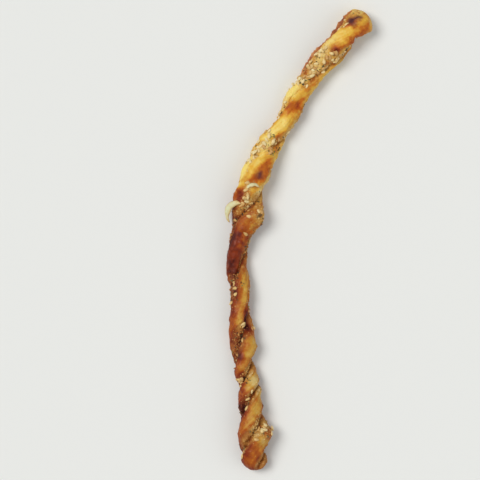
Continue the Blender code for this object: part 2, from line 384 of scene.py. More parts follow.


# How single places baked, in the same terms, with how strongly in place of the height. The
# browned places hold painted shade as well, and the pale places painted highlights.
BROWNED_AND_SHADED = (
    (0.0086, 122, 0.50, 0.0042, 0.0055),
    (0.0060, 46, 0.32, 0.0060, 0.0042),
    (0.0113, 59, 0.26, 0.0045, 0.0035),
    (0.0160, 60, 0.36, 0.0048, 0.0042),
    (0.0183, 84, 0.12, 0.0030, 0.0030),
    (0.0225, 125, 0.12, 0.0050, 0.0050),
    (0.0266, 92, 0.46, 0.0026, 0.0030),
    (0.0250, 76, 0.14, 0.0044, 0.0036),
    (0.0284, 99, 0.14, 0.0030, 0.0030),
    (0.0300, 30, 0.20, 0.0050, 0.0030),
    (0.0400, 140, 0.30, 0.0060, 0.0040),
    (0.0465, 127, 0.38, 0.0030, 0.0034),
    (0.0375, 70, 0.30, 0.0050, 0.0032),
    (0.0440, 50, 0.10, 0.0060, 0.0034),
    (0.0560, 50, 0.22, 0.0070, 0.0036),
    (0.0622, 62, 0.34, 0.0042, 0.0046),
    (0.0662, 98, 0.44, 0.0034, 0.0066),
    (0.0692, 114, 0.22, 0.0034, 0.0034),
    (0.0650, 80, 0.12, 0.0030, 0.0034),
    (0.0719, 95, 0.16, 0.0030, 0.0050),
    (0.0737, 124, 0.20, 0.0040, 0.0034),
    (0.0700, 50, 0.22, 0.0060, 0.0030),
    (0.0835, 57, 0.22, 0.0030, 0.0040),
    (0.0856, 78, 0.18, 0.0030, 0.0036),
    (0.0899, 30, 0.25, 0.0040, 0.0030),
    (0.0985, 58, 0.34, 0.0070, 0.0036),
    (0.1035, 48, 0.30, 0.0050, 0.0034),
    (0.1076, 68, 0.30, 0.0044, 0.0044),
    (0.1125, 88, 0.40, 0.0030, 0.0034),
    (0.1114, 52, 0.16, 0.0030, 0.0030),
    (0.1196, 118, 0.24, 0.0030, 0.0036),
    (0.1212, 134, 0.80, 0.0040, 0.0042),
    (0.1241, 60, 0.32, 0.0045, 0.0030),
    (0.1330, 78, 0.26, 0.0080, 0.0045),
    (0.1352, 118, 0.24, 0.0050, 0.0040),
    (0.1404, 70, 0.34, 0.0050, 0.0070),
    (0.1422, 92, 0.25, 0.0026, 0.0026),
    (0.1465, 115, 0.40, 0.0050, 0.0070),
    (0.1455, 95, 0.25, 0.0050, 0.0080),
    (0.1548, 101, 0.72, 0.0085, 0.0120),
    (0.1600, 142, 0.30, 0.0070, 0.0050),
    (0.1710, 105, 0.42, 0.0070, 0.0060),
    (0.1736, 140, 0.40, 0.0034, 0.0056),
    (0.1858, 120, 0.34, 0.0040, 0.0036),
    (0.1869, 58, 0.66, 0.0050, 0.0034),
    (0.1914, 42, 0.80, 0.0060, 0.0044),
    (0.1925, 124, 0.24, 0.0030, 0.0030),
    (0.1989, 84, 0.40, 0.0036, 0.0040),
    (0.2047, 113, 0.40, 0.0060, 0.0045),
    (0.2100, 104, 0.82, 0.0042, 0.0036),
    (0.2202, 120, 0.34, 0.0040, 0.0032),
    (0.2277, 122, 0.50, 0.0034, 0.0040),
    (0.2343, 88, 0.26, 0.0030, 0.0034),
    (0.2398, 148, 0.85, 0.0052, 0.0056),
    (0.2405, 98, 0.22, 0.0030, 0.0030),
    (0.2429, 75, 0.35, 0.0012, 0.0022),
    (0.2538, 36, 0.35, 0.0030, 0.0028),
    (0.2584, 86, 0.16, 0.0036, 0.0036),
    (0.2602, 100, 0.40, 0.0060, 0.0060),
)
# Paler places: partly the dough's own colour and partly painted highlights.
PALE_AND_HIGHLIGHTED = (
    (0.0237, 127, 0.14, 0.0040, 0.0030),
    (0.0237, 50, 0.20, 0.0030, 0.0030),
    (0.0195, 145, 0.14, 0.0070, 0.0034),
    (0.0261, 135, 0.10, 0.0060, 0.0034),
    (0.0320, 128, 0.30, 0.0050, 0.0040),
    (0.0452, 100, 0.20, 0.0045, 0.0032),
    (0.0590, 148, 0.66, 0.0058, 0.0066),
    (0.0668, 150, 0.30, 0.0040, 0.0036),
    (0.0733, 98, 0.10, 0.0060, 0.0040),
    (0.0803, 108, 0.12, 0.0050, 0.0040),
    (0.0886, 112, 0.36, 0.0058, 0.0050),
    (0.0930, 86, 0.26, 0.0034, 0.0060),
    (0.0974, 106, 0.38, 0.0050, 0.0040),
    (0.1059, 168, 0.45, 0.0060, 0.0040),
    (0.1128, 156, 0.60, 0.0060, 0.0038),
    (0.1165, 46, 0.40, 0.0042, 0.0034),
    (0.1215, 98, 0.26, 0.0040, 0.0050),
    (0.1250, 76, 0.28, 0.0030, 0.0034),
    (0.1318, 120, 0.26, 0.0034, 0.0036),
    (0.1379, 104, 0.22, 0.0030, 0.0034),
    (0.1113, 22, 0.22, 0.0060, 0.0030),
    (0.1341, 28, 0.28, 0.0040, 0.0040),
    (0.1691, 58, 0.38, 0.0080, 0.0024),
    (0.1790, 60, 0.38, 0.0060, 0.0034),
    (0.1896, 90, 0.85, 0.0050, 0.0044),
    (0.1930, 165, 0.32, 0.0050, 0.0034),
    (0.2036, 132, 0.30, 0.0034, 0.0034),
    (0.2040, 34, 0.32, 0.0056, 0.0036),
    (0.2112, 62, 0.24, 0.0042, 0.0036),
    (0.2155, 108, 0.26, 0.0030, 0.0036),
    (0.2200, 60, 0.50, 0.0048, 0.0050),
    (0.2250, 50, 0.60, 0.0040, 0.0036),
    (0.2258, 84, 0.20, 0.0036, 0.0040),
    (0.2289, 20, 0.70, 0.0040, 0.0034),
    (0.2338, 126, 0.18, 0.0034, 0.0036),
    (0.2338, 33, 0.34, 0.0060, 0.0034),
    (0.2443, 80, 0.40, 0.0060, 0.0060),
    (0.2465, 17, 0.52, 0.0034, 0.0030),
    (0.2500, 75, 0.40, 0.0050, 0.0060),
    (0.2560, 55, 0.66, 0.0050, 0.0044),
    (0.2579, 140, 0.50, 0.0040, 0.0040),
)
CHARRED = (
    (0.0086, 122, 1.1, 0.0026, 0.0046),
    (0.0045, 100, 0.9, 0.0016, 0.0024),
    (0.1076, 68, 0.95, 0.0027, 0.0027),
    (0.1301, 35, 0.8, 0.0012, 0.0014),
    (0.1422, 92, 0.7, 0.0014, 0.0017),
    (0.1989, 84, 0.8, 0.0022, 0.0032),
)
DEEPER_FROM, DEEPER_TO = 0.105, 0.140  # below the crown: from there on it all baked deeper, and painted shade darkens it
# Where the seeds and the crumbs spread over a side as well, and where a face stayed bare.
STREWN_OVER = (
    (0.0425, 135, 1.3, 0.0125, 0.0060),
    (0.0330, 126, 1.0, 0.0060, 0.0050),
    (0.1190, 102, 0.7, 0.0046, 0.0018),
    (0.1303, 32, 0.6, 0.0050, 0.0045),
    (0.1690, 125, 0.7, 0.0090, 0.0040),
    (0.2500, 40, 1.0, 0.0050, 0.0060),
)
BARE = (
    (0.0580, 140, 1.3, 0.0058, 0.0066),
    (0.1085, 172, 1.2, 0.0080, 0.0048),
    (0.1150, 152, 1.0, 0.0040, 0.0040),
    (0.1890, 50, 1.1, 0.0060, 0.0036),
    (0.0985, 98, 1.0, 0.0050, 0.0040),
    (0.1548, 112, 1.0, 0.0100, 0.0080),
)

LAYER, LAYER_RUN = 0.0009, 0.0140  # the dough's layers on a side: their pitch, and how far one runs
LAYER_HEIGHT = 0.00022
# The tears that make the outlines on the skin ragged: their size, and how far they bend the
# outline of a spot, a dent, a char, the edge of a side, and in metres the deeper baked part.
TEAR_SIZE = 0.0042
SPOT_TEAR, DENT_TEAR, CHAR_TEAR, SIDE_TEAR, DEEPER_TEAR = 0.35, 0.25, 0.45, 0.12, 0.012
# Across the strip, from the middle of a face, 0, to the cut edge, 1: where the puffed side sets
# in and is whole, and where its own brown shoulder fades towards the cut edge.
SIDE_FROM, SIDE_WHOLE = 0.56, 0.76
SHOULDER_FADED, SHOULDER_WHOLE = 0.98, 0.74
HOLLOW_FROM, HOLLOW_DEEP = 0.0003, -0.0005  # the relief where a face gets painted shade as a hollow
# How much browner it is painted: the deeper baked part, partly browning and partly painted
# shade, and its left side, which is painted shade; then the fold, partly browning and partly
# painted shade, and what more in the deeper part, the shoulder, the torn lip, and the hollows,
# which are painted shade.
DEEPER_BROWN_AND_SHADE, LEFT_PAINTED_SHADE = 0.26, 0.32
FOLD_BROWN_AND_SHADE, DEEP_FOLD_BROWN_AND_SHADE, SHOULDER_BROWN, LIP_BROWN, HOLLOW_PAINTED_SHADE = 0.14, 0.08, 0.14, 0.08, 0.22
DEEPER_EVENS = 0.45  # how much of the single spots the deeper baking and its painted shade even out


def baked_and_shaded_at(along, turned, torn):
    """How far the place is in the deeper baked part, and how deep the oven browned the dough
    there, over the plain golden crust, with painted shade on the deeper part and its left side,
    and painted shade and painted highlights from the single spots."""
    deeper = smooth_step(DEEPER_FROM, DEEPER_TO, LENGTH - along + DEEPER_TEAR * torn)
    # Painted shade on the left side of the deeper baked part.
    left = max(0.0, -math.cos(turned))
    browned_and_shaded = near(BROWNED_AND_SHADED, along, turned, SPOT_TEAR * torn)
    spots = browned_and_shaded - near(PALE_AND_HIGHLIGHTED, along, turned, SPOT_TEAR * torn)
    return deeper, (1 - DEEPER_EVENS * deeper) * spots + deeper * (DEEPER_BROWN_AND_SHADE + LEFT_PAINTED_SHADE * left)


def bake(bm):
    """The skin's relief, and how each point of it baked, kept in layers for the crust, together
    with the painted shade and painted highlights laid over the browning.
    """
    bm.normal_update()
    floats = bm.verts.layers.float
    turn_of, along_of, turned_of = [floats[name] for name in ("turn", "along", "turned")]
    kept = [floats.new(name) for name in ("side", "toast_and_shade", "deeper", "charred", "leaf")]
    normals = [vertex.normal.copy() for vertex in bm.verts]
    for vertex, normal in zip(bm.verts, normals):
        place = vertex.co.copy()
        along, turned = vertex[along_of], vertex[turned_of]
        across, up, _, leaf = section_point(vertex[turn_of], along)
        torn = noise.fractal(place / TEAR_SIZE, 1.0, 2.0, 3)
        side = smooth_step(SIDE_FROM, SIDE_WHOLE, abs(across) + SIDE_TEAR * torn)
        side *= 1 - min(1.0, near(STREWN_OVER, along, turned, SPOT_TEAR * torn))
        side = mix(side, 1.0, min(1.0, near(BARE, along, turned, SPOT_TEAR * torn)))
        rim = 4 * side * (1 - side)
        fold = crease_share(across, up, along)
        layers = noise.noise(Vector((leaf / LAYER, along / LAYER_RUN, 0)))
        stands = relief(place, side, rim, fold) + LAYER_HEIGHT * side * layers
        height = stands * end_share(along) + near(DENTS, along, turned, DENT_TEAR * torn)
        vertex.co = place + height * normal
        # Painted shade in the hollows of the faces.
        hollow = (1 - side) * smooth_step(HOLLOW_FROM, HOLLOW_DEEP, stands)
        deeper, toast_and_shade = baked_and_shaded_at(along, turned, torn)
        shoulder = side * smooth_step(SHOULDER_FADED, SHOULDER_WHOLE, abs(across))
        # The folds are painted browner, partly as browning and partly as painted shade.
        browner_and_shaded = (FOLD_BROWN_AND_SHADE + DEEP_FOLD_BROWN_AND_SHADE * deeper) * fold + SHOULDER_BROWN * shoulder
        toast_and_shade += browner_and_shaded + LIP_BROWN * rim + HOLLOW_PAINTED_SHADE * hollow
        charred = near(CHARRED, along, turned, CHAR_TEAR * torn)
        for layer, value in zip(kept, (side, toast_and_shade, deeper, charred, leaf)):
            vertex[layer] = value


def press_on_tray(bm):
    """What would lie below the tray is pressed flat."""
    for vertex in bm.verts:
        if vertex.co.z < 0:
            vertex.co.z = 0.0


def unroll(bm):
    """The skin laid out flat in three strips side by side, with a margin round each."""
    strips, margin = 3, 0.02
    laid_out = bm.loops.layers.uv.new("OFBake")
    turn_of, along_of = bm.verts.layers.float["turn"], bm.verts.layers.float["along"]
    for face in bm.faces:
        shares = [loop.vert[turn_of] / math.tau for loop in face.loops]
        strip = min(strips - 1, int(strips * face.verts[0][along_of] / LENGTH))
        for loop, share in zip(face.loops, shares):
            if max(shares) > 0.75 and share < 0.25:
                share += 1
            down = strips * loop.vert[along_of] / LENGTH - strip
            sideways = (strip + mix(margin, 1 - margin, share)) / strips
            loop[laid_out].uv = (sideways, mix(margin, 1 - margin, down))


def new_piece(name, bm, material):
    """An object made of the mesh, shaded smooth, with its place in the mesh."""
    mesh = bpy.data.meshes.new(name)
    bm.to_mesh(mesh)
    bm.free()
    mesh.shade_smooth()
    mesh.materials.append(material)
    piece = bpy.data.objects.new(name, mesh)
    bpy.context.scene.collection.objects.link(piece)
    return piece


def paint(red, green, blue):
    """A colour as it is seen on a chart, from 0 to 255, turned into the shader's own scale."""
    channels = [channel / 255 for channel in (red, green, blue)]
    return [c / 12.92 if c <= 0.04045 else ((c + 0.055) / 1.055) ** 2.4 for c in channels] + [1.0]


def add(tree, kind, *values, **settings):
    """A node of that kind. Its inputs, in order, get numbers, colours or other nodes' sockets,
    and None leaves an input as it is."""
    made = tree.nodes.new("ShaderNode" + kind)
    for name, value in settings.items():
        setattr(made, name, value)
    inputs = [socket for socket in made.inputs if socket.enabled]
    for socket, value in zip(inputs, values):
        if isinstance(value, bpy.types.NodeSocket):
            tree.links.new(value, socket)
        elif value is not None:
            socket.default_value = value
    return next(socket for socket in made.outputs if socket.enabled)


def new_effect(name, inputs, output, kind):
    """An empty node group with named inputs and one output: its tree, its input sockets by name,
    and the socket that its result goes to."""
    tree = bpy.data.node_groups.new(name, "ShaderNodeTree")
    for input_name, input_kind, value in inputs:
        socket = tree.interface.new_socket(input_name, in_out="INPUT", socket_type=input_kind)
        socket.default_value = value
    tree.interface.new_socket(output, in_out="OUTPUT", socket_type=kind)
    given = tree.nodes.new("NodeGroupInput").outputs
    result = tree.nodes.new("NodeGroupOutput").inputs[output]
    return tree, {name: given[name] for name, _, _ in inputs}, result


def effect(tree, group, **values):
    """The group placed in a tree, with its inputs given by name."""
    made = tree.nodes.new("ShaderNodeGroup")
    made.node_tree = group
    for name, value in values.items():
        if isinstance(value, bpy.types.NodeSocket):
            tree.links.new(value, made.inputs[name])
        else:
            made.inputs[name].default_value = value
    return made.outputs[0]


def mottling_effect():
    """Patches of about a size in metres, as a share: 0 where the noise is under From, 1 over To."""
    numbers = (("Size", 0.003), ("From", 0.4), ("To", 0.6))
    inputs = [(name, "NodeSocketFloat", value) for name, value in numbers]
    tree, given, result = new_effect("mottling", inputs, "Share", "NodeSocketFloat")
    where = tree.nodes.new("ShaderNodeTexCoord").outputs["Object"]
    scale = add(tree, "Math", 0.5, given["Size"], operation="DIVIDE")
    uneven = add(tree, "TexNoise", where, scale, 3.0, 0.55)
    limits = given["From"], given["To"], 0.0, 1.0
    share = add(tree, "MapRange", uneven, *limits, interpolation_type="SMOOTHSTEP")
    tree.links.new(share, result)
    return tree


def oven_effect():
    """The colour that a dough takes in the oven: Toast 0 is pale, and each STEP on it is the
    next colour, up to burnt."""
    shades = ("Pale", "Golden", "Amber", "Rusty", "Burnt")
    inputs = [("Toast", "NodeSocketFloat", 0.3)]
    inputs += [(name, "NodeSocketColor", paint(200, 150, 80)) for name in shades]
    tree, given, result = new_effect("oven_colour", inputs, "Colour", "NodeSocketColor")
    colour = given["Pale"]
    for step, shade in enumerate(shades[1:]):
        low, high = TOAST_STEP * step, TOAST_STEP * (step + 1)
        share = add(tree, "MapRange", given["Toast"], low, high, 0.0, 1.0)
        colour = mixed(tree, share, colour, given[shade])
    tree.links.new(colour, result)
    return tree


def mixed(tree, share, first, second, way="MIX"):
    """Two colours mixed by a share."""
    return add(tree, "Mix", share, first, second, data_type="RGBA", blend_type=way)


TOAST_STEP = 0.30
mottling = mottling_effect()
oven_colour = oven_effect()


def mottled(tree, size, low, high):
    """The mottling placed in a tree."""
    return effect(tree, mottling, Size=size, From=low, To=high)


def browning(tree, toast_and_shade, **shades):
    """The oven's colour placed in a tree, with its five shades as charted colours."""
    paints = {name: paint(*shade) for name, shade in shades.items()}
    return effect(tree, oven_colour, Toast=toast_and_shade, **paints)


def baked_share(tree, name):
    """What the baking kept in the mesh under that name."""
    made = tree.nodes.new("ShaderNodeAttribute")
    made.attribute_name = name
    return made.outputs["Fac"]


def total(tree, *parts):
    """The sum of (value, weight) parts."""
    summed = 0.0
    for value, weight in parts:
        summed = add(tree, "Math", value, weight, summed, operation="MULTIPLY_ADD")
    return summed


def new_material(name, **settings):
    """A material, its node tree and its shader. The settings are the shader's inputs by name,
    with _ for a space."""
    material = bpy.data.materials.new(name)
    material.use_nodes = True
    shader = material.node_tree.nodes["Principled BSDF"]
    for setting, value in settings.items():
        shader.inputs[setting.replace("_", " ")].default_value = value
    return material, material.node_tree, shader


def roughen(tree, shader, height, depth):
    """The shader's skin is bumped by a height, over a depth in metres."""
    bump = tree.nodes.new("ShaderNodeBump")
    bump.inputs["Distance"].default_value = depth
    tree.links.new(height, bump.inputs["Height"])
    tree.links.new(bump.outputs["Normal"], shader.inputs["Normal"])


STREAKS = 0.38  # how strongly the layers streak the browning of a side
DEEPER_PAINTED_SHADE = 0.75  # how strongly painted shade darkens and dulls the deeper baked part
CHAR_FROM = 0.20  # how charred a place is where it begins to blacken
CRUST_ROUGHNESS = 0.50
CRUST_BUMP = 0.00016


def baked_crust():
    """Golden on the puffed sides, tan on the strewn faces, orange to maroon in the folds, partly as
    painted shade. Painted shade also darkens the deeper baked part, its left side and the hollows.
    """
    material, tree, shader = new_material(
        "baked_crust",
        Specular_IOR_Level=0.16,
        Coat_Weight=0.06,
        Coat_Roughness=0.30,
        Subsurface_Weight=0.06,
        Subsurface_Radius=(1.0, 0.45, 0.15),
        Subsurface_Scale=0.0012,
    )
    side, toast_and_shade, charred = [baked_share(tree, name) for name in ("side", "toast_and_shade", "charred")]
    deeper = add(tree, "Math", baked_share(tree, "deeper"), DEEPER_PAINTED_SHADE, operation="MULTIPLY")
    broad, blotch = mottled(tree, 0.012, 0.36, 0.64), mottled(tree, 0.0034, 0.38, 0.64)
    fine, specks = mottled(tree, 0.0010, 0.35, 0.65), mottled(tree, 0.0011, 0.66, 0.72)
    run = add(tree, "Math", baked_share(tree, "along"), LAYER / LAYER_RUN, operation="MULTIPLY")
    laid = add(tree, "CombineXYZ", baked_share(tree, "leaf"), run, 0.0)
    layers = add(tree, "TexNoise", laid, 0.5 / LAYER, 2.0, 0.5)
    toasted = total(tree, (toast_and_shade, 1.0), (broad, 0.20), (blotch, 0.15), (fine, 0.10), (specks, 0.20))
    streaked = total(tree, (toasted, 1.0), (layers, STREAKS))
    sides = browning(
        tree,
        add(tree, "Math", streaked, -STREAKS / 2),
        Pale=(240, 214, 120),
        Golden=(226, 176, 62),
        Amber=(196, 108, 24),
        Rusty=(152, 58, 14),
        Burnt=(92, 30, 16),
    )
    faces = browning(
        tree,
        toasted,
        Pale=(234, 208, 130),
        Golden=(214, 164, 74),
        Amber=(180, 108, 40),
        Rusty=(138, 62, 24),
        Burnt=(78, 28, 16),
    )
    crust = mixed(tree, side, faces, sides)
    # Painted shade: the deeper baked part is darkened and dulled.
    crust = mixed(tree, deeper, crust, paint(214, 204, 240), "MULTIPLY")
    burnt = add(tree, "MapRange", charred, CHAR_FROM, 1.0, 0.0, 1.0)
    crust = mixed(tree, burnt, crust, paint(84, 42, 46))
    tree.links.new(crust, shader.inputs["Base Color"])
    matt = total(tree, (side, -0.14), (blotch, 0.12), (fine, 0.10))
    tree.links.new(add(tree, "Math", matt, CRUST_ROUGHNESS), shader.inputs["Roughness"])
    bumps = total(tree, (fine, 0.8), (blotch, 0.5), (layers, 1.2))
    roughen(tree, shader, bumps, CRUST_BUMP)
    return material


def twisted_dough():
    """The dough, its skin for what lies on it, and its rings."""
    bm = tube()
    rings = rings_along_course()
    twist(bm, rings)
    onto_frame(bm, rings)
    bmesh.ops.recalc_face_normals(bm, faces=bm.faces)
    bake(bm)
    press_on_tray(bm)
    unroll(bm)
    skin = BVHTree.FromBMesh(bm)
    piece = new_piece("dough", bm, baked_crust())
    return piece, skin, rings


dough, skin, rings = twisted_dough()
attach(dough, "root")
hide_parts("breadstick")

# ==== The frill ================================================================================
# The thin edge of the strip's outer layer, which baked crisp and stands out on the left below
# the head. It is the same dough, brown and ragged like torn paper, and holds along its root.

FRILL_FROM, FRILL_TO = 0.003, 0.051  # below the crown
FRILL_TURNED = 168, 186  # in degrees from the right, at its upper and its lower end
FRILL_REACH = 0.0036, 0.0022  # how far it stands out near its upper end, and further down
NARROWING = 1.5  # how fast it comes down to the lower reach; at 1, it does at its lower end
FRILL_THICKNESS = 0.0007
FRILL_ROOT = 0.0025  # how deep it goes into the dough
NOTCH, NOTCH_SIZE = 0.30, 0.0050  # how ragged its edge is, as shares of its reach
NICK, NICK_SIZE = 0.28, 0.0014
WAVE, WAVE_SIZE = 0.0009, 0.0060  # how far it waves up and down
CRINKLE, CRINKLE_SIZE = 0.0001, 0.0022
EVENED_STEP = 0.0015  # its root is evened out over three steps to each side


def ring_at(below_crown):
    """The section there, between the two nearest rings."""
    step = min(RINGS - 0.001, max(0.0, (1 - below_crown / LENGTH) * RINGS))
    between = copy.copy(rings[int(step)])
    between.middle = between.middle.lerp(rings[int(step) + 1].middle, step % 1)
    return between


def skin_at(below_crown, turned):
    """The place on the skin there, and the skin's normal."""
    ring = ring_at(below_crown)
    outward = ring.outward(turned)
    place, normal, _, _ = skin.ray_cast(ring.middle + 2 * STRIP_WIDTH * outward, -outward)
    return place, normal


def root_at(below_crown, turned):
    """A place on the skin evened out along the stick, and the way out of the stick there."""
    steps = [below_crown + EVENED_STEP * step for step in range(-3, 4)]
    depths = [(skin_at(step, turned)[0] - ring_at(step).middle).length for step in steps]
    ring = ring_at(below_crown)
    outward = ring.outward(turned)
    return ring.middle + sum(depths) / len(depths) * outward, outward


def thicken(bm, thickness):
    """Thin sheets given a back side: their faces are extruded, each point back along its normal."""
    bm.normal_update()
    back = bmesh.ops.extrude_face_region(bm, geom=bm.faces[:])["geom"]
    moved = [part for part in back if isinstance(part, bmesh.types.BMVert)]
    for vertex, normal in [(vertex, vertex.normal.copy()) for vertex in moved]:
        vertex.co -= thickness * normal
    bmesh.ops.recalc_face_normals(bm, faces=bm.faces)


def crisp_pastry():
    """Brown crisp layers, orange towards the ragged edge, darkest at the root by painted shade."""
    material, tree, shader = new_material("crisp_pastry", Roughness=0.55)
    blotch, fine = mottled(tree, 0.0026, 0.38, 0.62), mottled(tree, 0.0008, 0.35, 0.65)
    edge = baked_share(tree, "edge")
    # Painted shade: darker towards the root, where the frill meets the dough.
    toasted = total(tree, (edge, -0.50), (blotch, 0.42), (fine, 0.20))
    crisp = browning(
        tree,
        add(tree, "Math", toasted, 0.60),
        Pale=(214, 162, 96),
        Golden=(188, 116, 58),
        Amber=(156, 82, 42),
        Rusty=(116, 58, 28),
        Burnt=(72, 36, 20),
    )
    tree.links.new(crisp, shader.inputs["Base Color"])
    roughen(tree, shader, fine, 0.0001)
    return material


def frill():
    """A long thin grid, bent round the stick's left side and drawn out to its ragged edge."""
    bm = bmesh.new()
    edge_of = bm.verts.layers.float.new("edge")
    bmesh.ops.create_grid(bm, x_segments=240, y_segments=10, size=0.5)
    for vertex in bm.verts:
        share, out = vertex.co.x + 0.5, vertex.co.y + 0.5
        turned = math.radians(mix(*FRILL_TURNED, share))
        root, outward = root_at(mix(FRILL_FROM, FRILL_TO, share), turned)
        notched = NOTCH * noise.noise(root / NOTCH_SIZE)
        ragged = notched + NICK * out * noise.noise(root / NICK_SIZE)
        plain_reach = mix(*FRILL_REACH, min(1.0, NARROWING * share))
        reach = plain_reach * math.sin(math.pi * share) ** 0.4 * (0.92 + ragged)
        place = root + mix(-FRILL_ROOT, reach, out) * outward
        wave = WAVE * out * noise.noise(root / WAVE_SIZE)
        wave += CRINKLE * noise.noise(place / CRINKLE_SIZE)
        vertex.co = place + Vector((0, 0, wave))
        vertex[edge_of] = out + 0.3 * noise.noise(place / 0.0012)
    thicken(bm, FRILL_THICKNESS)
    return new_piece("frill", bm, crisp_pastry())


frill_edge = frill()
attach(frill_edge, "root")

# ==== The sesame ===============================================================================
# Hulled sesame, flat drops about 3 mm long, strewn on the egg wash before the strip was cut and
# twisted. They stick on the two faces, single and in clumps, partly sunk and toasted unevenly.

SEED_LENGTH, SEED_WIDTH, SEED_THICKNESS = 0.0030, 0.0018, 0.0011
SEED_SIZE = SEED_WIDTH, SEED_THICKNESS, SEED_LENGTH
SEED_VARIES = 0.84, 1.12  # each of its sizes, as shares of the usual one
SEED_SHAPES = 5
SEEDS_SCATTERED = 210
SEEDS_LOWER = 0.35  # the share of them that stuck where the dough baked deeper
SEED_CLEARANCE = 0.0016  # from the middle of one seed to the next
SEED_OVERLAP = 0.45  # the share of that at which a seed in a clump lies on another one
SEED_LIFT = 0.6 * SEED_THICKNESS  # how much higher it lies there
SEED_UNDERSIDE = 0.0016  # below this height none stuck on the side turned to the tray
SEED_SUNK = 0.20, 0.50  # how much of its thickness a seed is sunk
SEED_LEAN = 0.30  # how unevenly it leans off the skin
# How toasted: at least, how much more at most, how rarely, and the share of the dough's own
# browning and painted shade.
SEED_TONES = 0.06, 0.55, 2.2, 0.5
DOWNWARD = 0.2  # skin with an upward normal under this is turned to the tray
END_BARE = 0.001  # nothing is strewn nearer to an end
FOOT_BARE, CROWN_BARE = 0.004, 0.003  # nor is anything scattered nearer to these
FACE_SPREAD = math.radians(22)  # how far from the middle of a face things were strewn
CLUMP_SPREAD = 0.6  # how far from the middle of a clump, as a share of its reach
BARE_FROM = 0.4  # how bare or charred a place is where nothing sticks
SQUARE_MARGIN = 0.1  # round each thing in the flat layout of its piece
# Clumps: below the crown, degrees turned up from the right, how many, and over what reach.
SEED_CLUMPS = (
    (0.0277, 84, 3, 0.0022),
    (0.0326, 96, 3, 0.0020),
    (0.0299, 42, 4, 0.0030),
    (0.0371, 140, 4, 0.0030),
    (0.0410, 126, 7, 0.0060),
    (0.0480, 138, 5, 0.0046),
    (0.0318, 130, 6, 0.0032),
    (0.0383, 103, 2, 0.0020),
    (0.0443, 101, 5, 0.0024),
    (0.0507, 118, 3, 0.0018),
    (0.0540, 150, 2, 0.0015),
    (0.0586, 164, 1, 0.0004),
    (0.0735, 170, 3, 0.0018),
    (0.0789, 18, 4, 0.0030),
    (0.0846, 129, 3, 0.0020),
    (0.0866, 58, 5, 0.0036),
    (0.0900, 120, 4, 0.0030),
    (0.0934, 64, 2, 0.0012),
    (0.0938, 135, 4, 0.0024),
    (0.0976, 151, 3, 0.0020),
    (0.1005, 166, 4, 0.0024),
    (0.1032, 172, 3, 0.0016),
    (0.1148, 103, 2, 0.0010),
    (0.1192, 101, 2, 0.0012),
    (0.1226, 106, 2, 0.0010),
    (0.1262, 114, 2, 0.0010),
    (0.1248, 78, 3, 0.0014),
    (0.1232, 90, 2, 0.0012),
    (0.1277, 85, 1, 0.0004),
    (0.1283, 42, 2, 0.0012),
    (0.1359, 160, 1, 0.0004),
    (0.1416, 65, 1, 0.0004),
    (0.1700, 122, 3, 0.0028),
    (0.1757, 109, 1, 0.0004),
    (0.1800, 138, 2, 0.0012),
    (0.1922, 86, 3, 0.0012),
    (0.1939, 12, 2, 0.0012),
    (0.2009, 84, 1, 0.0003),
    (0.2234, 137, 6, 0.0034),
    (0.2382, 113, 1, 0.0004),
    (0.2504, 48, 6, 0.0030),
    (0.2525, 15, 4, 0.0030),
    (0.2559, 80, 2, 0.0014),
)


def face_place(rng):
    """A random place on one of the two strewn faces: below the crown, and how far turned."""
    along = rng.uniform(FOOT_BARE, LENGTH - CROWN_BARE)
    turn = rng.choice((1, -1)) * math.pi / 2 + rng.gauss(0, FACE_SPREAD)
    return LENGTH - along, turn + roll(along)


def kept_bare(below_crown, turned):
    """Whether nothing stuck there."""
    return near(BARE + CHARRED, LENGTH - below_crown, turned) > BARE_FROM


def place_about(rng, below_crown, degrees, reach_along, reach_round):
    """A random place about the middle of a clump: below the crown, and how far turned."""
    off_along = rng.gauss(0, CLUMP_SPREAD * reach_along)
    off_round = rng.gauss(0, CLUMP_SPREAD * reach_round)
    return below_crown + off_along, math.radians(degrees) + 2 * off_round / STRIP_WIDTH


def clump_places(rng, clumps):
    """A random place for each thing in the clumps."""
    places = []
    for below_crown, degrees, count, reach in clumps:
        places += [place_about(rng, below_crown, degrees, reach, reach) for _ in range(count)]
    return places


def on_the_stick(below_crown):
    """Whether a place isn't past an end, nor right at it."""
    return END_BARE < below_crown < LENGTH - END_BARE


def turned_to_tray(place, normal, underside):
    """Whether a place on the skin is low down and faces the tray."""
    return place.z < underside and normal.z < DOWNWARD


def toasted_tone(rng, tones, toast_and_shade):
    """How toasted a strewn thing is, by its kind's tones and the dough's own browning and
    painted shade there.
    """
    least, more, rarity, follows = tones
    return least + more * rng.random() ** rarity + follows * toast_and_shade


def lying(place, normal, size, sunk, lean, rng):
    """A matrix that lays a piece of that size on the skin: Z its length, Y its thickness."""
    out = (normal + lean * Vector([rng.uniform(-1, 1) for _ in range(3)])).normalized()
    length = Matrix.Rotation(rng.uniform(0, math.tau), 3, out) @ out.orthogonal().normalized()
    width = out.cross(length)
    turned = Matrix((width * size[0], out * size[1], length * size[2])).transposed().to_4x4()
    return Matrix.Translation(place + (0.5 - sunk) * size[1] * normal) @ turned


